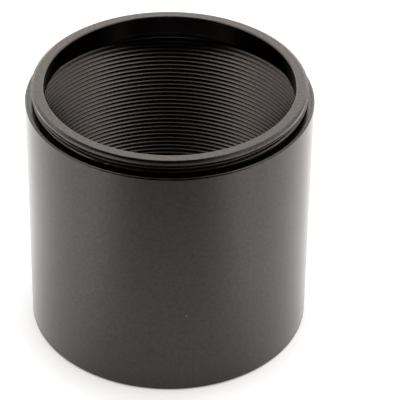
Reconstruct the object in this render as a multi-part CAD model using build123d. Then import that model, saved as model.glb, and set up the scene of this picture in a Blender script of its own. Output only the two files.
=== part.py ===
from build123d import *
import os

# Extension tube for a camera or telescope, in millimetres.
# A turned barrel carries a female thread along its whole bore. A turned ring is bonded
# into a socket in its top and carries the same thread, male, on a short open neck.
# +Z is the optical axis, from the barrel's base face towards the male thread.
# The origin is the centre of the base face, and the shoulder stands barrel_length above it.

# The thread that both ends share, and how deep it is cut as a share of its pitch
thread_diameter = 42.0
thread_pitch = 0.75
female_depth_share = 0.5413
male_depth_share = 0.6134

# Barrel
barrel_length = 40.0
barrel_wall = 1.0  # outside the female thread's root
barrel_top_chamfer = 0.2
barrel_base_chamfer = 0.25
mouth_oversize = 0.1  # how far the lead-in opens past the thread's root

# Neck of the ring, above the shoulder
neck_height = 2.3
neck_wall = 1.44  # inside the male thread's root
crest_chamfer_height = 0.38
bore_edge_chamfer = 0.15
undercut_width = 0.4  # plain groove where the male thread ends
undercut_taper = 0.27  # height over which it rises to the crest

# Skirt of the ring, inside the barrel's socket
web_thickness = 0.7  # metal between the shoulder and the relief
relief_length = 1.8  # clear space past the end of the female thread
relief_clearance = 0.05  # how far the relief stands back from the thread's root
seat_lead = 0.15
skirt_wall_share = 0.5  # of the wall between the relief and the barrel's side
bond_gap = 0.03  # on the radius, filled by the bonding compound

# Radii that both pieces follow
crest_radius = thread_diameter / 2
male_root_radius = crest_radius - male_depth_share * thread_pitch
female_crest_radius = crest_radius - female_depth_share * thread_pitch
barrel_radius = crest_radius + barrel_wall
neck_bore_radius = male_root_radius - neck_wall
relief_radius = crest_radius + relief_clearance
mouth_radius = crest_radius + mouth_oversize
mouth_depth = mouth_radius - female_crest_radius
relief_step = relief_radius - female_crest_radius
skirt_radius = relief_radius + skirt_wall_share * (barrel_radius - relief_radius)
socket_radius = skirt_radius + bond_gap

# Heights that both pieces follow
shoulder_z = barrel_length
top_z = shoulder_z + neck_height
web_z = shoulder_z - web_thickness
seat_z = web_z - relief_length
undercut_top_z = shoulder_z + undercut_width


def turned(outline):
    """Revolves a closed outline of (radius, height) points about the optical axis."""
    section = Plane.XZ * make_face(Polyline(*outline, close=True))
    return revolve(section, Axis.Z)


def barrel():
    outside = [
        (mouth_radius, 0),
        (barrel_radius - barrel_base_chamfer, 0),
        (barrel_radius, barrel_base_chamfer),
        (barrel_radius, shoulder_z - barrel_top_chamfer),
        (barrel_radius - barrel_top_chamfer, shoulder_z),
    ]
    socket = [
        (socket_radius, shoulder_z),
        (socket_radius, seat_z),
        (relief_radius, seat_z),
    ]
    bore = [
        (female_crest_radius, seat_z - relief_step),
        (female_crest_radius, mouth_depth),
    ]
    return turned(outside + socket + bore)


def male_thread_ring():
    skirt = [
        (relief_radius, seat_z),
        (skirt_radius - seat_lead, seat_z),
        (skirt_radius, seat_z + seat_lead),
        (skirt_radius, shoulder_z),
    ]
    neck = [
        (male_root_radius, shoulder_z),
        (male_root_radius, undercut_top_z),
        (crest_radius, undercut_top_z + undercut_taper),
        (crest_radius, top_z - crest_chamfer_height),
        (male_root_radius, top_z),
    ]
    bore = [
        (neck_bore_radius + bore_edge_chamfer, top_z),
        (neck_bore_radius, top_z - bore_edge_chamfer),
        (neck_bore_radius, web_z),
        (relief_radius, web_z),
    ]
    return turned(skirt + neck + bore)


def write(name, solid):
    solid.label = name
    export_step(solid, os.path.join("parts", name + ".step"))
    box = solid.bounding_box()
    print(name, "volume", round(solid.volume, 1), "from z", round(box.min.Z, 3), "to", round(box.max.Z, 3))


def tell_wall(name, radius, low_z, high_z):
    print(name, "radius", round(radius, 3), "from z", round(low_z, 3), "to", round(high_z, 3))


os.makedirs("parts", exist_ok=True)
write("barrel", barrel())
write("male_thread_ring", male_thread_ring())
tell_wall("barrel", barrel_radius, 0, shoulder_z)
tell_wall("female thread", female_crest_radius, mouth_depth, seat_z - relief_step)
tell_wall("relief", relief_radius, seat_z, web_z)
tell_wall("socket", socket_radius, seat_z, shoulder_z)
tell_wall("male thread", crest_radius, undercut_top_z + undercut_taper, top_z - crest_chamfer_height)
tell_wall("neck bore", neck_bore_radius, web_z, top_z - bore_edge_chamfer)
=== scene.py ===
import math

import bpy
from mathutils import Euler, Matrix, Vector


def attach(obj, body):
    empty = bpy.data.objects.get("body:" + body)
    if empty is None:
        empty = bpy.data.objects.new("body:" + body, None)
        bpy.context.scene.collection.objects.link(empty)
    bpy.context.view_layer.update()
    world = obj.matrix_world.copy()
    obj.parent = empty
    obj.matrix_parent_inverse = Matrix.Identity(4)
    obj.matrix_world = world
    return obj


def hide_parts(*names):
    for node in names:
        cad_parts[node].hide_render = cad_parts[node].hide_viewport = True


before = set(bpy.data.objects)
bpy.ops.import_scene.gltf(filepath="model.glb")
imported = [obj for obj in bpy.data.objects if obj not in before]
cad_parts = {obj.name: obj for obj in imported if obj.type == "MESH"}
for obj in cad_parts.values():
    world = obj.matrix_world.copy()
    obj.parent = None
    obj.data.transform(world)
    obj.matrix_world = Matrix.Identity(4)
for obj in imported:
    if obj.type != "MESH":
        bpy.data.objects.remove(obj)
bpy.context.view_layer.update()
mm = 0.001
fullTurn = 2 * math.pi
columns = 180  # points round every turned wall, the same for all, so that neighbours share them


# Helpers for node trees

def addNode(tree, kind, **settings):
    node = tree.nodes.new(kind)
    for name, value in settings.items():
        setattr(node, name, value)
    return node


def feed(tree, socket, value):
    if isinstance(value, bpy.types.NodeSocket):
        tree.links.new(value, socket)
    else:
        socket.default_value = value


def calc(tree, operation, *values, clamp=False):
    node = addNode(tree, "ShaderNodeMath", operation=operation, use_clamp=clamp)
    for socket, value in zip(node.inputs, values):
        feed(tree, socket, value)
    return node.outputs[0]


def longSide(tree, first, second):
    # the long side of a right-angled triangle, from its two others
    squares = [calc(tree, "POWER", side, 2.0) for side in (first, second)]
    return calc(tree, "SQRT", calc(tree, "ADD", *squares))


def splitAxes(tree, vector):
    node = addNode(tree, "ShaderNodeSeparateXYZ")
    feed(tree, node.inputs[0], vector)
    return node.outputs


def smoothStep(tree, value, low, high, lowResult, highResult):
    node = addNode(tree, "ShaderNodeMapRange", interpolation_type="SMOOTHSTEP")
    for socket, number in zip(node.inputs, (value, low, high, lowResult, highResult)):
        feed(tree, socket, number)
    return node.outputs[0]


def addNoise(tree, dimensions, place, scale, detail):
    node = addNode(tree, "ShaderNodeTexNoise", noise_dimensions=dimensions)
    feed(tree, node.inputs["W" if dimensions == "1D" else "Vector"], place)
    feed(tree, node.inputs["Scale"], scale)
    feed(tree, node.inputs["Detail"], detail)
    return node.outputs[0]


def mixColour(tree, factor, first, second):
    # a colour is a socket or three numbers
    node = addNode(tree, "ShaderNodeMix", data_type="RGBA")
    feed(tree, node.inputs["Factor"], factor)
    for name, colour in (("A", first), ("B", second)):
        feed(tree, node.inputs[name], colour if isinstance(colour, bpy.types.NodeSocket) else (*colour, 1))
    return node.outputs["Result"]


def addSockets(tree, side, sockets):
    for name, kind in sockets.items():
        tree.interface.new_socket(name, in_out=side, socket_type="NodeSocket" + kind)


def startGroup(name, inputs, outputs):
    tree = bpy.data.node_groups.new(name, "ShaderNodeTree")
    addSockets(tree, "INPUT", dict.fromkeys(inputs, "Float"))
    addSockets(tree, "OUTPUT", dict.fromkeys(outputs, "Float"))
    return tree, addNode(tree, "NodeGroupInput").outputs, addNode(tree, "NodeGroupOutput").inputs


def placeGroup(tree, group, values):
    node = addNode(tree, "ShaderNodeGroup", node_tree=group)
    for name, value in values.items():
        feed(tree, node.inputs[name], value)
    return node.outputs


# Shader groups that both finishes use. Lengths are in millimetres, and a scale is in waves to one.

patterns = {
    "wanderScale": 0.12, "wanderDetail": 2.0,  # how a turning line strays from its true circle
    "acrossWeight": 1.37,  # what a millimetre across counts for, beside one of height
    "lineDetail": 2.0, "bandScale": 0.45, "bandDetail": 3.0,
    "rubScale": 0.9, "rubDetail": 4.0, "rubContrast": 4.0,
    "mottleDetail": 3.0, "mottleContrast": 3.0, "mottleStart": 0.4, "pitStart": 0.35,
}


def objectMillimetres(tree):
    # a point's place, its distance from the axis, and its height
    scaled = addNode(tree, "ShaderNodeVectorMath", operation="SCALE")
    feed(tree, scaled.inputs[0], addNode(tree, "ShaderNodeTexCoord").outputs["Object"])
    feed(tree, scaled.inputs["Scale"], 1 / mm)
    x, y, height = splitAxes(tree, scaled.outputs[0])
    return scaled.outputs[0], longSide(tree, x, y), height


def buildTurningLines():
    # fine grooves of the lathe tool: rings on a flat face, hoops on a wall
    tree, given, result = startGroup("turningLines", ("Spacing", "Waver"), ("Height", "Band"))
    place, across, height = objectMillimetres(tree)
    wander = addNoise(tree, "3D", place, patterns["wanderScale"], patterns["wanderDetail"])
    along = calc(tree, "ADD", height, calc(tree, "MULTIPLY", across, patterns["acrossWeight"]))
    along = calc(tree, "ADD", along, calc(tree, "MULTIPLY", wander, given["Waver"]))
    counted = calc(tree, "DIVIDE", along, given["Spacing"])
    feed(tree, result["Height"], addNoise(tree, "1D", counted, 1.0, patterns["lineDetail"]))
    feed(tree, result["Band"], addNoise(tree, "1D", along, patterns["bandScale"], patterns["bandDetail"]))
    return tree


def buildDustSpecks():
    # a few pale specks: the middles of some cells of a Voronoi pattern
    tree, given, result = startGroup("dustSpecks", ("Spacing", "Size", "Share"), ("Mask",))
    cells = addNode(tree, "ShaderNodeTexVoronoi", voronoi_dimensions="3D", feature="F1")
    feed(tree, cells.inputs["Vector"], objectMillimetres(tree)[0])
    feed(tree, cells.inputs["Scale"], calc(tree, "DIVIDE", 1.0, given["Spacing"]))
    distance = calc(tree, "MULTIPLY", cells.outputs["Distance"], given["Spacing"])
    near = calc(tree, "LESS_THAN", distance, given["Size"])
    colour = addNode(tree, "ShaderNodeSeparateColor")
    feed(tree, colour.inputs[0], cells.outputs["Color"])
    chosen = calc(tree, "LESS_THAN", colour.outputs[0], given["Share"])
    feed(tree, result["Mask"], calc(tree, "MULTIPLY", near, chosen))
    return tree


def buildEdgeRub():
    # wear round one circular edge, strongest at the edge and broken up along it
    tree, given, result = startGroup("edgeRub", ("Radius", "Height", "Width", "Break Up"), ("Mask",))
    place, across, height = objectMillimetres(tree)
    sideways = calc(tree, "SUBTRACT", across, given["Radius"])
    upwards = calc(tree, "SUBTRACT", height, given["Height"])
    distance = calc(tree, "DIVIDE", longSide(tree, sideways, upwards), given["Width"])
    near = calc(tree, "SUBTRACT", 1.0, distance, clamp=True)
    patches = addNoise(tree, "3D", place, patterns["rubScale"], patterns["rubDetail"])
    kept = calc(tree, "SUBTRACT", patches, given["Break Up"])
    kept = calc(tree, "MULTIPLY", kept, patterns["rubContrast"], clamp=True)
    feed(tree, result["Mask"], calc(tree, "MULTIPLY", near, kept))
    return tree


def buildSatinMottle():
    # faint paler patches of the anodised layer, and its fine pits
    tree, given, result = startGroup("satinMottle", ("Size", "Pit Size"), ("Mask", "Pits"))
    place = objectMillimetres(tree)[0]
    for size, start, output in (("Size", "mottleStart", "Mask"), ("Pit Size", "pitStart", "Pits")):
        scale = calc(tree, "DIVIDE", 1.0, given[size])
        patches = addNoise(tree, "3D", place, scale, patterns["mottleDetail"])
        above = calc(tree, "SUBTRACT", patches, patterns[start])
        feed(tree, result[output], calc(tree, "MULTIPLY", above, patterns["mottleContrast"], clamp=True))
    return tree


turningLines = buildTurningLines()
satinMottle = buildSatinMottle()
dustSpecks = buildDustSpecks()
edgeRub = buildEdgeRub()
print("shader groups ready")


def anodised(name, finish):
    material = bpy.data.materials.new(name)
    material.use_nodes = True
    tree = material.node_tree
    shader = tree.nodes["Principled BSDF"]
    feed(tree, shader.inputs["IOR"], finish["ior"])
    feed(tree, shader.inputs["Specular Tint"], (*finish["sheenTint"], 1))
    lines = placeGroup(tree, turningLines, {"Spacing": finish["lineSpacing"], "Waver": finish["waver"]})
    mottle = placeGroup(tree, satinMottle, {"Size": finish["mottleSize"], "Pit Size": finish["pitSize"]})
    dust = placeGroup(tree, dustSpecks, {
        "Spacing": finish["dustSpacing"], "Size": finish["dustSize"], "Share": finish["dustShare"]})
    rubbed = 0.0
    for radius, height, width in finish["rubbedEdges"]:
        edge = placeGroup(tree, edgeRub, {
            "Radius": radius, "Height": height, "Width": width, "Break Up": finish["rubBreakUp"]})
        rubbed = calc(tree, "MAXIMUM", rubbed, edge["Mask"])
    banded = calc(tree, "MULTIPLY", lines["Band"], finish["mottleStrength"])
    pale = calc(tree, "MULTIPLY", mottle["Mask"], banded)
    worn = calc(tree, "MULTIPLY", rubbed, finish["rub"])
    dusty = calc(tree, "MULTIPLY", dust["Mask"], finish["dustCover"])
    colour = mixColour(tree, pale, finish["colour"], finish["paleColour"])
    colour = mixColour(tree, worn, colour, finish["rubbedColour"])
    colour = mixColour(tree, dusty, colour, finish["dustColour"])
    feed(tree, shader.inputs["Base Color"], colour)
    # a black metal mirrors less than the layer does, so the pits look darker
    feed(tree, shader.inputs["Metallic"], calc(tree, "MULTIPLY", mottle["Pits"], finish["pitDepth"]))
    rough = calc(tree, "MULTIPLY", lines["Band"], finish["lineRoughness"])
    rough = calc(tree, "ADD", finish["roughness"], rough)
    rough = calc(tree, "ADD", rough, calc(tree, "MULTIPLY", dust["Mask"], finish["dustRoughness"]))
    feed(tree, shader.inputs["Roughness"], rough)
    bump = addNode(tree, "ShaderNodeBump")
    feed(tree, bump.inputs["Strength"], finish["lineStrength"])
    feed(tree, bump.inputs["Distance"], finish["lineDepth"] * mm)
    feed(tree, bump.inputs["Height"], lines["Height"])
    feed(tree, shader.inputs["Normal"], bump.outputs["Normal"])
    return material


# The thread: rows of points that climb one pitch in each turn round the axis. At both ends the
# rows are held at the end circle, and a cone there cuts the thread down to it.

threadShape = {
    "roundingOnFlank": 0.5,  # how far a rounded edge reaches along the flank, as a share of the rounding
    "guardStep": 0.25,  # from there to the guard row, likewise
    "roundingOnRoot": 0.8,  # how far the root's rounded edge reaches along its flat, likewise
    "landRunOut": 0.25,  # the height in which the groove ends below a land, as a share of the pitch
    "mergeReach": 0.0015,  # points that lie nearer than this become one, in millimetres
}


def splitCount(tree, count, size):
    # how many whole rounds of this size, and what is left; the half makes up for rounding errors
    rounds = calc(tree, "FLOOR", calc(tree, "DIVIDE", calc(tree, "ADD", count, 0.5), size))
    return rounds, calc(tree, "SUBTRACT", count, calc(tree, "MULTIPLY", rounds, size))


def passOn(tree, geometry, kind, **inputs):
    # puts the geometry through one more node
    node = addNode(tree, kind)
    feed(tree, node.inputs[0], geometry)
    for name, value in inputs.items():
        feed(tree, node.inputs[name], value)
    return node.outputs[0]


def buildThreadTree():
    tree = bpy.data.node_groups.new("helicalThread", "GeometryNodeTree")
    tree.is_modifier = True
    addSockets(tree, "INPUT", {
        "Geometry": "Geometry", "Pitch": "Float", "Crest Radius": "Float", "Root Radius": "Float",
        "Crest Flat": "Float", "Root Flat": "Float", "Rounding": "Float",
        "Low Height": "Float", "Low Radius": "Float", "Low Run": "Float",
        "High Height": "Float", "High Radius": "Float", "High Run": "Float", "High Land": "Float",
        "Crest Height": "Float", "Crest Angle": "Float", "Columns": "Int", "Rows per Corner": "Int",
        "Inside": "Bool", "Finish": "Material"})
    addSockets(tree, "OUTPUT", {"Geometry": "Geometry"})
    given = addNode(tree, "NodeGroupInput").outputs
    pitch, rounding = given["Pitch"], given["Rounding"]
    rootRadius, perCorner = given["Root Radius"], given["Rows per Corner"]
    lowHeight, highHeight = given["Low Height"], given["High Height"]

    # one turn's section: flats with rounded edges, and a guard row that keeps each flank flat
    crestEdge = calc(tree, "MULTIPLY", given["Crest Flat"], 0.5)
    rootEdge = calc(tree, "MULTIPLY", calc(tree, "SUBTRACT", pitch, given["Root Flat"]), 0.5)
    onFlank = calc(tree, "MULTIPLY", rounding, threadShape["roundingOnFlank"])
    onRoot = calc(tree, "MULTIPLY", rounding, threadShape["roundingOnRoot"])
    innerCrest = calc(tree, "SUBTRACT", crestEdge, rounding)
    outerCrest = calc(tree, "ADD", crestEdge, onFlank)
    guard = calc(tree, "ADD", outerCrest, calc(tree, "MULTIPLY", rounding, threadShape["guardStep"]))
    outerRoot = calc(tree, "SUBTRACT", rootEdge, onFlank)
    innerRoot = calc(tree, "ADD", rootEdge, onRoot)
    corners = [calc(tree, "MULTIPLY", corner, -1.0) for corner in (outerCrest, innerCrest)]
    corners += [innerCrest, outerCrest, guard, outerRoot, innerRoot]
    nextFlank = (innerRoot, outerRoot, guard, outerCrest)
    corners += [calc(tree, "SUBTRACT", pitch, corner) for corner in nextFlank]
    steps = len(corners) - 1

    # the first crest lies at least one turn below the low end
    turnsRound = calc(tree, "DIVIDE", given["Crest Angle"], fullTurn)
    startCrest = calc(tree, "SUBTRACT", given["Crest Height"], calc(tree, "MULTIPLY", pitch, turnsRound))
    turnsBelow = calc(tree, "DIVIDE", calc(tree, "SUBTRACT", startCrest, lowHeight), pitch)
    turnsBelow = calc(tree, "ADD", calc(tree, "CEIL", turnsBelow), 1.0)
    firstCrest = calc(tree, "SUBTRACT", startCrest, calc(tree, "MULTIPLY", pitch, turnsBelow))
    turns = calc(tree, "DIVIDE", calc(tree, "SUBTRACT", highHeight, firstCrest), pitch)
    turns = calc(tree, "ADD", calc(tree, "CEIL", turns), 1.0)
    perTurn = calc(tree, "MULTIPLY", perCorner, steps)
    rows = calc(tree, "ADD", calc(tree, "MULTIPLY", turns, perTurn), 1.0)

    # each point's column, row and height
    grid = addNode(tree, "GeometryNodeMeshGrid")
    feed(tree, grid.inputs["Vertices X"], calc(tree, "ADD", given["Columns"], 1.0))
    feed(tree, grid.inputs["Vertices Y"], rows)
    column, row = splitCount(tree, addNode(tree, "GeometryNodeInputIndex").outputs[0], rows)
    turn, rowInTurn = splitCount(tree, row, perTurn)
    corner, rowInStep = splitCount(tree, rowInTurn, perCorner)
    ends = []
    for choices in (corners[:-1], corners[1:]):
        choose = addNode(tree, "GeometryNodeIndexSwitch", data_type="FLOAT")
        while len(choose.index_switch_items) < steps:
            choose.index_switch_items.new()
        feed(tree, choose.inputs["Index"], corner)
        for number, choice in enumerate(choices):
            feed(tree, choose.inputs[str(number)], choice)
        ends.append(choose.outputs[0])
    part = calc(tree, "DIVIDE", rowInStep, perCorner)
    step = calc(tree, "MULTIPLY", calc(tree, "SUBTRACT", ends[1], ends[0]), part)
    along = calc(tree, "ADD", ends[0], step)
    share = calc(tree, "DIVIDE", column, given["Columns"])
    height = calc(tree, "ADD", firstCrest, along)
    height = calc(tree, "ADD", height, calc(tree, "MULTIPLY", pitch, calc(tree, "ADD", turn, share)))
    height = calc(tree, "MINIMUM", calc(tree, "MAXIMUM", height, lowHeight), highHeight)

    # rise is 0 at the root and 1 at the crest
    fromCrest = calc(tree, "MINIMUM", calc(tree, "ABSOLUTE", along), calc(tree, "SUBTRACT", pitch, along))
    rise = calc(tree, "DIVIDE", calc(tree, "SUBTRACT", rootEdge, fromCrest),
                calc(tree, "SUBTRACT", rootEdge, crestEdge), clamp=True)
    depth = calc(tree, "SUBTRACT", given["Crest Radius"], rootRadius)
    for endRadius, run, fromEnd in (
            (given["Low Radius"], given["Low Run"], calc(tree, "SUBTRACT", height, lowHeight)),
            (given["High Radius"], given["High Run"], calc(tree, "SUBTRACT", highHeight, height))):
        endRise = calc(tree, "DIVIDE", calc(tree, "SUBTRACT", endRadius, rootRadius), depth)
        climb = calc(tree, "SUBTRACT", 1.0, endRise)
        climb = calc(tree, "MULTIPLY", climb, calc(tree, "DIVIDE", fromEnd, run))
        rise = calc(tree, "MINIMUM", rise, calc(tree, "ADD", endRise, climb))
    # the groove runs out below a plain land, where there is one
    belowLand = calc(tree, "SUBTRACT", calc(tree, "SUBTRACT", highHeight, height), given["High Land"])
    runOut = calc(tree, "MULTIPLY", pitch, threadShape["landRunOut"])
    land = calc(tree, "SUBTRACT", 1.0, calc(tree, "DIVIDE", belowLand, runOut))
    rise = calc(tree, "MAXIMUM", rise, calc(tree, "MINIMUM", land, 1.0))

    # the points go round the axis, and their wall joins the turned ones
    radius = calc(tree, "ADD", rootRadius, calc(tree, "MULTIPLY", depth, rise))
    angle = calc(tree, "MULTIPLY", share, fullTurn)
    place = addNode(tree, "ShaderNodeCombineXYZ")
    feed(tree, place.inputs[0], calc(tree, "MULTIPLY", radius, calc(tree, "COSINE", angle)))
    feed(tree, place.inputs[1], calc(tree, "MULTIPLY", radius, calc(tree, "SINE", angle)))
    feed(tree, place.inputs[2], height)
    wall = passOn(tree, grid.outputs["Mesh"], "GeometryNodeSetPosition", Position=place.outputs[0])
    wall = passOn(tree, wall, "GeometryNodeFlipFaces", Selection=given["Inside"])
    join = addNode(tree, "GeometryNodeJoinGeometry")
    feed(tree, join.inputs[0], wall)
    feed(tree, join.inputs[0], given["Geometry"])
    mergeReach = threadShape["mergeReach"] * mm
    piece = passOn(tree, join.outputs[0], "GeometryNodeMergeByDistance", Distance=mergeReach)
    piece = passOn(tree, piece, "GeometryNodeSetShadeSmooth")
    piece = passOn(tree, piece, "GeometryNodeRealizeInstances")
    piece = passOn(tree, piece, "GeometryNodeSetMaterial", Material=given["Finish"])
    feed(tree, addNode(tree, "NodeGroupOutput").inputs[0], piece)
    return tree


threadTree = buildThreadTree()
print("thread tree ready")


def threadValues(sizes, lowEnd, highEnd, inside, material):
    # what the thread tree is given; an end is its height, its radius and the height of its cone
    lengths = {
        "Pitch": sizes["pitch"], "Crest Radius": sizes["threadCrest"], "Root Radius": sizes["threadRoot"],
        "Crest Flat": sizes["crestFlat"], "Root Flat": sizes["rootFlat"], "Rounding": sizes["rounding"],
        "Crest Height": sizes["crestHeight"], "High Land": sizes["land"]}
    for end, (height, radius, run) in (("Low", lowEnd), ("High", highEnd)):
        lengths.update({end + " Height": height, end + " Radius": radius, end + " Run": run})
    values = {name: length * mm for name, length in lengths.items()}
    values.update({
        "Crest Angle": math.radians(sizes["crestAngle"]), "Columns": columns,
        "Rows per Corner": sizes["rowsPerCorner"], "Inside": inside, "Finish": material})
    return values


# Turned walls: an outline of (radius, height) in millimetres goes round the axis

turning = {
    "cornerShares": (0, 1 / 3, 2 / 3, 1),  # where the points of a rounded corner lie along it
    "shortSide": 0.3,  # the most of a side that a rounded corner takes up
    "guardRoom": 3,  # a side shorter than this many guard lengths gets no guard point
    "sharpAngle": 38,  # degrees between two faces, past which the edge isn't shaded smooth
}


def softened(outline, radius, guard, crisp):
    # rounds each corner of the outline but the crisp ones, and adds a guard point on each side
    # of it, to keep the faces flat
    soft = [outline[0]]
    for number, (before, corner, after) in enumerate(zip(outline, outline[1:], outline[2:]), 1):
        if number in crisp:
            soft.append(corner)
            continue
        corner, before, after = Vector(corner), Vector(before), Vector(after)
        towards, onwards = before - corner, after - corner
        start = corner + towards.normalized() * min(radius, towards.length * turning["shortSide"])
        end = corner + onwards.normalized() * min(radius, onwards.length * turning["shortSide"])
        if towards.length > turning["guardRoom"] * guard:
            soft.append(tuple(corner + towards.normalized() * guard))
        for share in turning["cornerShares"]:
            soft.append(tuple(start.lerp(corner, share).lerp(corner.lerp(end, share), share)))
        if onwards.length > turning["guardRoom"] * guard:
            soft.append(tuple(corner + onwards.normalized() * guard))
    return soft + [outline[-1]]


def turnedPiece(name, outline, edges, thread, material):
    points, faces = [], []
    outline = softened(outline, **edges)
    for radius, height in outline:
        for column in range(columns):
            angle = fullTurn * column / columns
            points.append((radius * mm * math.cos(angle), radius * mm * math.sin(angle), height * mm))
    for ring in range(len(outline) - 1):
        for column in range(columns):
            here = ring * columns + column
            there = ring * columns + (column + 1) % columns
            faces.append((here, there, there + columns, here + columns))
    walls = bpy.data.meshes.new(name + "Walls")
    walls.from_pydata(points, [], faces)
    walls.materials.append(material)
    piece = bpy.data.objects.new(name, walls)
    bpy.context.scene.collection.objects.link(piece)
    cut = piece.modifiers.new("thread", "NODES")
    cut.node_group = threadTree
    for item in threadTree.interface.items_tree:
        if item.item_type == "SOCKET" and item.in_out == "INPUT" and item.name in thread:
            cut[item.identifier] = thread[item.name]
    graph = bpy.context.evaluated_depsgraph_get()
    mesh = bpy.data.meshes.new_from_object(piece.evaluated_get(graph), depsgraph=graph)
    piece.modifiers.remove(cut)
    piece.data = mesh
    mesh.name = name
    mesh.materials.clear()
    mesh.materials.append(material)
    mesh.set_sharp_from_angle(angle=math.radians(turning["sharpAngle"]))
    print(name, "has", len(mesh.polygons), "faces")
    return piece


# Barrel: plain outside, female thread along its whole bore, open socket in the top

barrelSizes = {
    "radius": 22.0, "length": 40.0, "topChamfer": 0.2, "baseChamfer": 0.25, "mouthRadius": 21.1,
    "socketRadius": 21.555, "seatHeight": 37.5, "seatRadius": 21.05,
    "threadCrest": 20.594, "threadRoot": 21.0, "pitch": 0.75, "crestFlat": 0.065, "rootFlat": 0.055,
    "rounding": 0.03, "rowsPerCorner": 1,
    "flankSlope": 0.577,  # the cone at the thread's upper end slopes like a standard flank
    "land": -40.0,  # far below 0, so this thread has no plain land
    "crestHeight": 35.25, "crestAngle": 90,  # where the photo shows one crest, in the middle of the far side
    "edges": {"radius": 0.04, "guard": 0.1, "crisp": (5, 6)},  # crisp: the outline's points that stay sharp
}
barrelFinish = {
    "colour": (0.0002, 0.0002, 0.0002), "roughness": 0.19, "ior": 1.53, "sheenTint": (1.0, 0.9, 0.88),
    "paleColour": (0.0025, 0.0022, 0.0021), "mottleSize": 0.5, "mottleStrength": 1.2,
    "pitSize": 0.45, "pitDepth": 0.18,
    "lineSpacing": 0.09, "waver": 0.5, "lineStrength": 0.35, "lineDepth": 0.004, "lineRoughness": 0.04,
    "rubbedColour": (0.12, 0.115, 0.11), "rub": 0.06, "rubBreakUp": 0.42,
    "rubbedEdges": [(22.0, 39.8, 0.18), (21.8, 40.0, 0.18), (22.0, 0.25, 0.25)],  # radius, height, width
    "dustSpacing": 2.5, "dustSize": 0.08, "dustShare": 0.12, "dustCover": 0.75, "dustRoughness": 0.3,
    "dustColour": (0.35, 0.33, 0.31),
}


def makeBarrel(sizes, finish):
    outline = [
        (sizes["mouthRadius"], 0),
        (sizes["radius"] - sizes["baseChamfer"], 0),
        (sizes["radius"], sizes["baseChamfer"]),
        (sizes["radius"], sizes["length"] - sizes["topChamfer"]),
        (sizes["radius"] - sizes["topChamfer"], sizes["length"]),
        (sizes["socketRadius"], sizes["length"]),
        (sizes["socketRadius"], sizes["seatHeight"]),
        (sizes["seatRadius"], sizes["seatHeight"]),
    ]
    mouthRun = sizes["mouthRadius"] - sizes["threadCrest"]
    seatRun = (sizes["seatRadius"] - sizes["threadCrest"]) * sizes["flankSlope"]
    material = anodised("blackAnodisedBarrel", finish)
    female = threadValues(
        sizes, (0.0, sizes["mouthRadius"], mouthRun), (sizes["seatHeight"], sizes["seatRadius"], seatRun),
        True, material)
    piece = turnedPiece("barrelTurned", outline, sizes["edges"], female, material)
    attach(piece, "root")
    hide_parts("barrel")
    return piece


makeBarrel(barrelSizes, barrelFinish)


# Ring: short open neck with the male thread, web and skirt, bonded into the barrel's socket

ringSizes = {
    "top": 42.3, "shoulder": 40.0, "boreRadius": 19.1, "boreEdge": 0.15, "webHeight": 39.3,
    "reliefRadius": 21.05, "skirtRadius": 21.525, "seatHeight": 37.5, "seatLead": 0.15,
    "threadCrest": 21.0, "threadRoot": 20.54, "pitch": 0.75, "crestFlat": 0.025, "rootFlat": 0.21,
    "rounding": 0.01, "rowsPerCorner": 4,
    "undercutTop": 40.2, "undercutTaper": 0.27, "crestChamfer": 0.2, "faceRadius": 20.57,
    "landTop": 0.2, "land": 0.26,  # from the chamfer's foot down to the thread's end, and on from there
    "crestHeight": 42.0, "crestAngle": 270,  # the photo's crests in front lie whole pitches below this
    "edges": {"radius": 0.05, "guard": 0.07, "crisp": (7, 10, 11)},
}
ringFinish = {
    **barrelFinish, "pitDepth": 0.3, "roughness": 0.14, "ior": 1.55, "lineSpacing": 0.07, "rub": 0.12,
    "rubbedEdges": [(19.175, 42.225, 0.2), (20.54, 42.3, 0.15), (21.0, 41.9, 0.15)],
}


def makeRing(sizes, finish):
    chamferFoot = sizes["top"] - sizes["crestChamfer"]
    threadTop = chamferFoot - sizes["landTop"]
    outline = [
        (sizes["threadCrest"], threadTop),
        (sizes["threadCrest"], chamferFoot),
        (sizes["faceRadius"], sizes["top"]),
        (sizes["boreRadius"] + sizes["boreEdge"], sizes["top"]),
        (sizes["boreRadius"], sizes["top"] - sizes["boreEdge"]),
        (sizes["boreRadius"], sizes["webHeight"]),
        (sizes["reliefRadius"], sizes["webHeight"]),
        (sizes["reliefRadius"], sizes["seatHeight"]),
        (sizes["skirtRadius"] - sizes["seatLead"], sizes["seatHeight"]),
        (sizes["skirtRadius"], sizes["seatHeight"] + sizes["seatLead"]),
        (sizes["skirtRadius"], sizes["shoulder"]),
        (sizes["threadRoot"], sizes["shoulder"]),
        (sizes["threadRoot"], sizes["undercutTop"]),
    ]
    material = anodised("blackAnodisedRing", finish)
    male = threadValues(
        sizes, (sizes["undercutTop"], sizes["threadRoot"], sizes["undercutTaper"]),
        (threadTop, sizes["threadCrest"], sizes["crestChamfer"]), False, material)
    piece = turnedPiece("maleThreadRingTurned", outline, sizes["edges"], male, material)
    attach(piece, "root")
    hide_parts("male_thread_ring")
    return piece


makeRing(ringSizes, ringFinish)


# Camera, from the fit to the photo

cameraSizes = {
    "place": (0.0, -276.5, 222.03), "turn": (53.8921, -0.76418, -0.44339),
    "lens": 195.93, "sensor": 36, "clip": (0.02, 20),
}


def makeCamera(sizes):
    data = bpy.data.cameras.new("camera")
    data.lens = sizes["lens"]
    data.sensor_width = sizes["sensor"]
    data.clip_start, data.clip_end = sizes["clip"]
    camera = bpy.data.objects.new("camera", data)
    camera.location = Vector(sizes["place"]) * mm
    camera.rotation_euler = Euler([math.radians(angle) for angle in sizes["turn"]])
    bpy.context.scene.collection.objects.link(camera)
    bpy.context.scene.camera = camera


makeCamera(cameraSizes)
print("camera ready")


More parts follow.
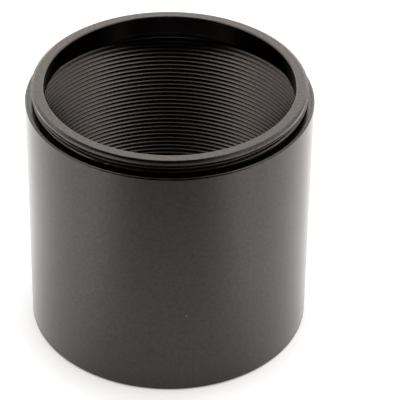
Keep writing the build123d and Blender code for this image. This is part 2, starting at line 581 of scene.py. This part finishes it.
# Studio: pale floor and white surroundings. Reflections see them bright at the sides and behind,
# and dark in front, where the camera stands, and in the middle overhead. A row of four numbers is
# a smooth step: where it starts and ends, and its value before and after.

studio = {
    "floorColour": (0.88, 0.875, 0.87), "floorReach": 3.0, "floorGlow": 0.18, "surround": 0.6,
    "warmth": (1.0, 0.956, 0.895), "shadeTint": (1.0, 0.985, 0.975), "white": (1.0, 1.0, 1.0),
    # the floor's painted glow and shade by its distance from the axis in metres: inside the tube, in front
    # and at the sides
    "tubeFoot": (0.0217, 0.0225, 0.0, 1.0), "insideGlow": -0.2,
    "frontGlow": (0.03, 0.09, -0.1, -0.6), "frontContactGlow": (0.022, 0.05, 0.35, 0.0),
    "frontFar": (0.08, 0.14, 0.0, -1.1), "sideReach": (0.022, 0.07, 0.8, 1.13),
    # the floor by its direction from the axis, from -1 in front to 1 behind
    "sideStart": (-1.0, -0.6, 0.0, 1.0), "sideGlow": (-0.8, -0.1, 0.68, 0.47),
    # the sky by y, from -1 in front to 1 behind, and by how far aside of its middle line
    "skyStart": (-0.42, -0.22, 0.0, 1.0), "skyBack": (0.35, 0.75, 0.0, 1.0), "skyFront": 0.01,
    "skySides": (0.05, 0.5, 0.68, 1.0), "skyShift": 0.08,
    # the dark roof: its front edge bows back at both sides, and the roof narrows behind that edge
    "roofBow": 0.9, "roofStart": (-0.255, -0.2, 0.0, 1.0), "roofFoot": (0.7, 0.8, 0.0, 1.0),
    "roofArch": (-0.08, 0.03, 0.14, 0.0), "roofSides": (0.2, 1.0, 0.002, 1.0),
    # the sky by z, from the horizon up
    "skyLow": (0.5, 0.75, 0.62, 1.0), "skyHigh": (0.7, 0.95, 2.75, 6.4),
    "lamps": {
        "overhead": {"place": (0.03, 0.09, 0.62), "aim": (0, 0, 0.02), "size": (0.6, 0.5), "power": 4.9},
    },
}


def lightPathMasks(tree):
    # what the camera sees, and what reflections and views through glass see
    rays = addNode(tree, "ShaderNodeLightPath").outputs
    return rays["Is Camera Ray"], calc(tree, "MAXIMUM", rays["Is Glossy Ray"], rays["Is Transmission Ray"])


def makeFloor(sizes):
    reach = sizes["floorReach"]
    mesh = bpy.data.meshes.new("floor")
    corners = [(-reach, -reach, 0), (reach, -reach, 0), (reach, reach, 0), (-reach, reach, 0)]
    mesh.from_pydata(corners, [], [(0, 1, 2, 3)])
    floor = bpy.data.objects.new("floor", mesh)
    bpy.context.scene.collection.objects.link(floor)
    paper = bpy.data.materials.new("whitePaper")
    paper.use_nodes = True
    tree = paper.node_tree
    shader = tree.nodes["Principled BSDF"]
    feed(tree, shader.inputs["Base Color"], (*sizes["floorColour"], 1))
    feed(tree, shader.inputs["Roughness"], 1.0)
    feed(tree, shader.inputs["Specular IOR Level"], 0.0)
    x, y = splitAxes(tree, addNode(tree, "ShaderNodeTexCoord").outputs["Object"])[:2]
    away = longSide(tree, x, y)
    # painted light and shade: the floor glows for reflections only, brighter at the sides, darker in front
    # and far in front, with a painted brightening just in front of the base and painted shade inside the
    # tube
    behind = calc(tree, "DIVIDE", y, calc(tree, "MAXIMUM", away, mm))
    side = smoothStep(tree, behind, *sizes["sideStart"])
    sides = calc(tree, "MULTIPLY", side, smoothStep(tree, behind, *sizes["sideGlow"]))
    sides = calc(tree, "MULTIPLY", sides, smoothStep(tree, away, *sizes["sideReach"]))
    front = smoothStep(tree, away, *sizes["frontGlow"])
    front = calc(tree, "ADD", front, smoothStep(tree, away, *sizes["frontContactGlow"]))
    front = calc(tree, "ADD", front, smoothStep(tree, away, *sizes["frontFar"]))
    front = calc(tree, "MULTIPLY", front, calc(tree, "SUBTRACT", 1.0, side))
    # painted shade: reflections see the floor inside the tube darkened, as if in deep shade
    outside = smoothStep(tree, away, *sizes["tubeFoot"])
    glow = smoothStep(tree, outside, 0.0, 1.0, sizes["insideGlow"], calc(tree, "ADD", front, sides))
    camera, mirrored = lightPathMasks(tree)
    glow = calc(tree, "MULTIPLY", mirrored, glow)
    glow = calc(tree, "ADD", glow, calc(tree, "MULTIPLY", camera, sizes["floorGlow"]))
    feed(tree, shader.inputs["Emission Strength"], glow)
    warm = calc(tree, "MULTIPLY", mirrored, calc(tree, "GREATER_THAN", glow, 0.0))
    feed(tree, shader.inputs["Emission Color"], mixColour(tree, warm, sizes["shadeTint"], sizes["warmth"]))
    # from below the floor is clear, so that the underside can be seen
    clear = addNode(tree, "ShaderNodeMixShader")
    feed(tree, clear.inputs[0], addNode(tree, "ShaderNodeNewGeometry").outputs["Backfacing"])
    feed(tree, clear.inputs[1], shader.outputs[0])
    feed(tree, clear.inputs[2], addNode(tree, "ShaderNodeBsdfTransparent").outputs[0])
    feed(tree, tree.nodes["Material Output"].inputs["Surface"], clear.outputs[0])
    mesh.materials.append(paper)


def makeSurroundings(sizes):
    world = bpy.data.worlds.new("surroundings")
    bpy.context.scene.world = world
    world.use_nodes = True
    tree = world.node_tree
    background = tree.nodes["Background"]
    x, y, z = splitAxes(tree, addNode(tree, "ShaderNodeTexCoord").outputs["Generated"])
    # what reflections see
    front = smoothStep(tree, y, *sizes["skyStart"])
    back = smoothStep(tree, y, *sizes["skyBack"])
    aside = calc(tree, "ABSOLUTE", calc(tree, "ADD", x, sizes["skyShift"]))
    side = smoothStep(tree, aside, *sizes["skySides"])
    bow = calc(tree, "MULTIPLY", calc(tree, "POWER", x, 2.0), sizes["roofBow"])
    bowed = calc(tree, "SUBTRACT", y, bow)
    roof = smoothStep(tree, bowed, *sizes["roofStart"])
    roof = calc(tree, "MULTIPLY", roof, smoothStep(tree, z, *sizes["roofFoot"]))
    inArch = calc(tree, "SUBTRACT", aside, smoothStep(tree, bowed, *sizes["roofArch"]))
    side = smoothStep(tree, roof, 0.0, 1.0, side, smoothStep(tree, inArch, *sizes["roofSides"]))
    side = calc(tree, "MULTIPLY", side, smoothStep(tree, z, *sizes["skyLow"]))
    sky = calc(tree, "MULTIPLY", calc(tree, "MAXIMUM", side, back), front)
    sky = calc(tree, "MULTIPLY", sky, smoothStep(tree, z, *sizes["skyHigh"]))
    sky = calc(tree, "ADD", sky, sizes["skyFront"])
    # the camera sees white, reflections see that sky, and the rest of the light is even all round
    camera, mirrored = lightPathMasks(tree)
    feed(tree, background.inputs["Color"], mixColour(tree, mirrored, sizes["white"], sizes["warmth"]))
    seen = calc(tree, "MULTIPLY", camera, 1.0 - sizes["surround"])
    strength = calc(tree, "MULTIPLY", mirrored, calc(tree, "SUBTRACT", sky, sizes["surround"]))
    strength = calc(tree, "ADD", calc(tree, "ADD", strength, seen), sizes["surround"])
    feed(tree, background.inputs["Strength"], strength)


def makeLamps(sizes):
    for name, lamp in sizes["lamps"].items():
        data = bpy.data.lights.new(name, "AREA")
        data.shape = "RECTANGLE"
        data.size, data.size_y = lamp["size"]
        data.energy = lamp["power"]
        light = bpy.data.objects.new(name, data)
        light.location = lamp["place"]
        aim = Vector(lamp["aim"]) - Vector(lamp["place"])
        light.rotation_euler = aim.to_track_quat("-Z", "Y").to_euler()
        light.visible_glossy = False
        bpy.context.scene.collection.objects.link(light)


makeFloor(studio)
makeSurroundings(studio)
makeLamps(studio)
bpy.context.scene.view_settings.view_transform = "Standard"
print("studio ready")
